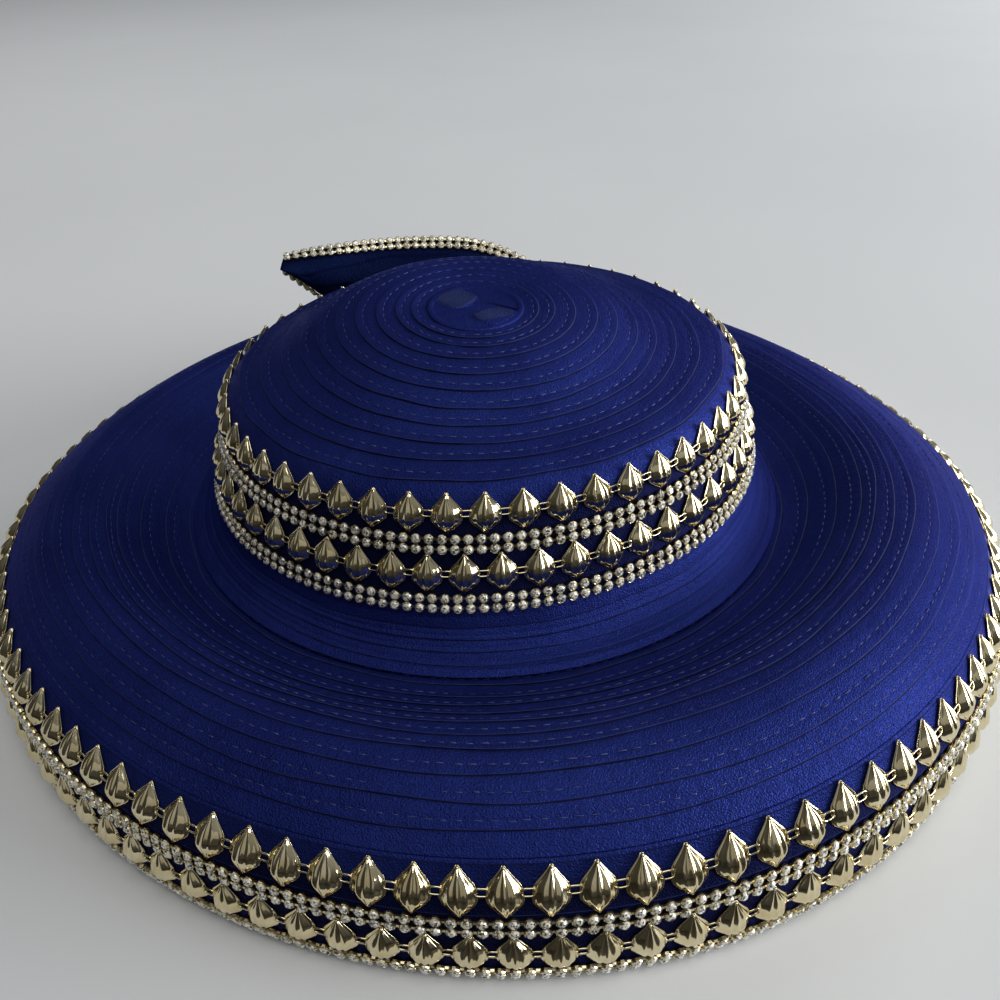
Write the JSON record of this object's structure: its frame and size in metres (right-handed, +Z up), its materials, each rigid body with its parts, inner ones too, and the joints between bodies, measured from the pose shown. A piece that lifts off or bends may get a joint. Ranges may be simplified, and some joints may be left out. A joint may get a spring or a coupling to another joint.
{
  "type": "church hat",
  "caption": "Wide-brimmed church hat of navy satin ribbon with a low round crown, gold shell chains, rhinestone bands and a pointed bow leaf at the back.",
  "frame": {"origin": "centre of the hat's outline on the plane that its rim stands on", "axes": "+Z up through the crown, -Y to the front of the hat, +X to the viewer's right when the front is seen"},
  "size_m": [0.3836, 0.3846, 0.111],
  "materials": {
    "satin": "navy satin ribbon with a soft sheen, sewn in overlapping tiers",
    "gold": "pale polished gold plating",
    "rhinestone": "clear foiled crystals in pale gold cups"
  },
  "bodies": {
    "root": {"crown": "satin", "crown_button": "satin", "brim": "satin", "rim": "satin", "crown_shell_chain_upper": "gold", "crown_rhinestone_band_upper": "rhinestone", "crown_shell_chain_lower": "gold", "crown_rhinestone_band_lower": "rhinestone", "brim_shell_chain_upper": "gold", "brim_rhinestone_band_upper": "rhinestone", "brim_shell_chain_lower": "gold", "brim_rhinestone_band_lower": "rhinestone", "bow_leaf": "satin", "bow_rhinestone_band_upper": "rhinestone", "bow_rhinestone_band_lower": "rhinestone"}
  },
  "joints": []
}
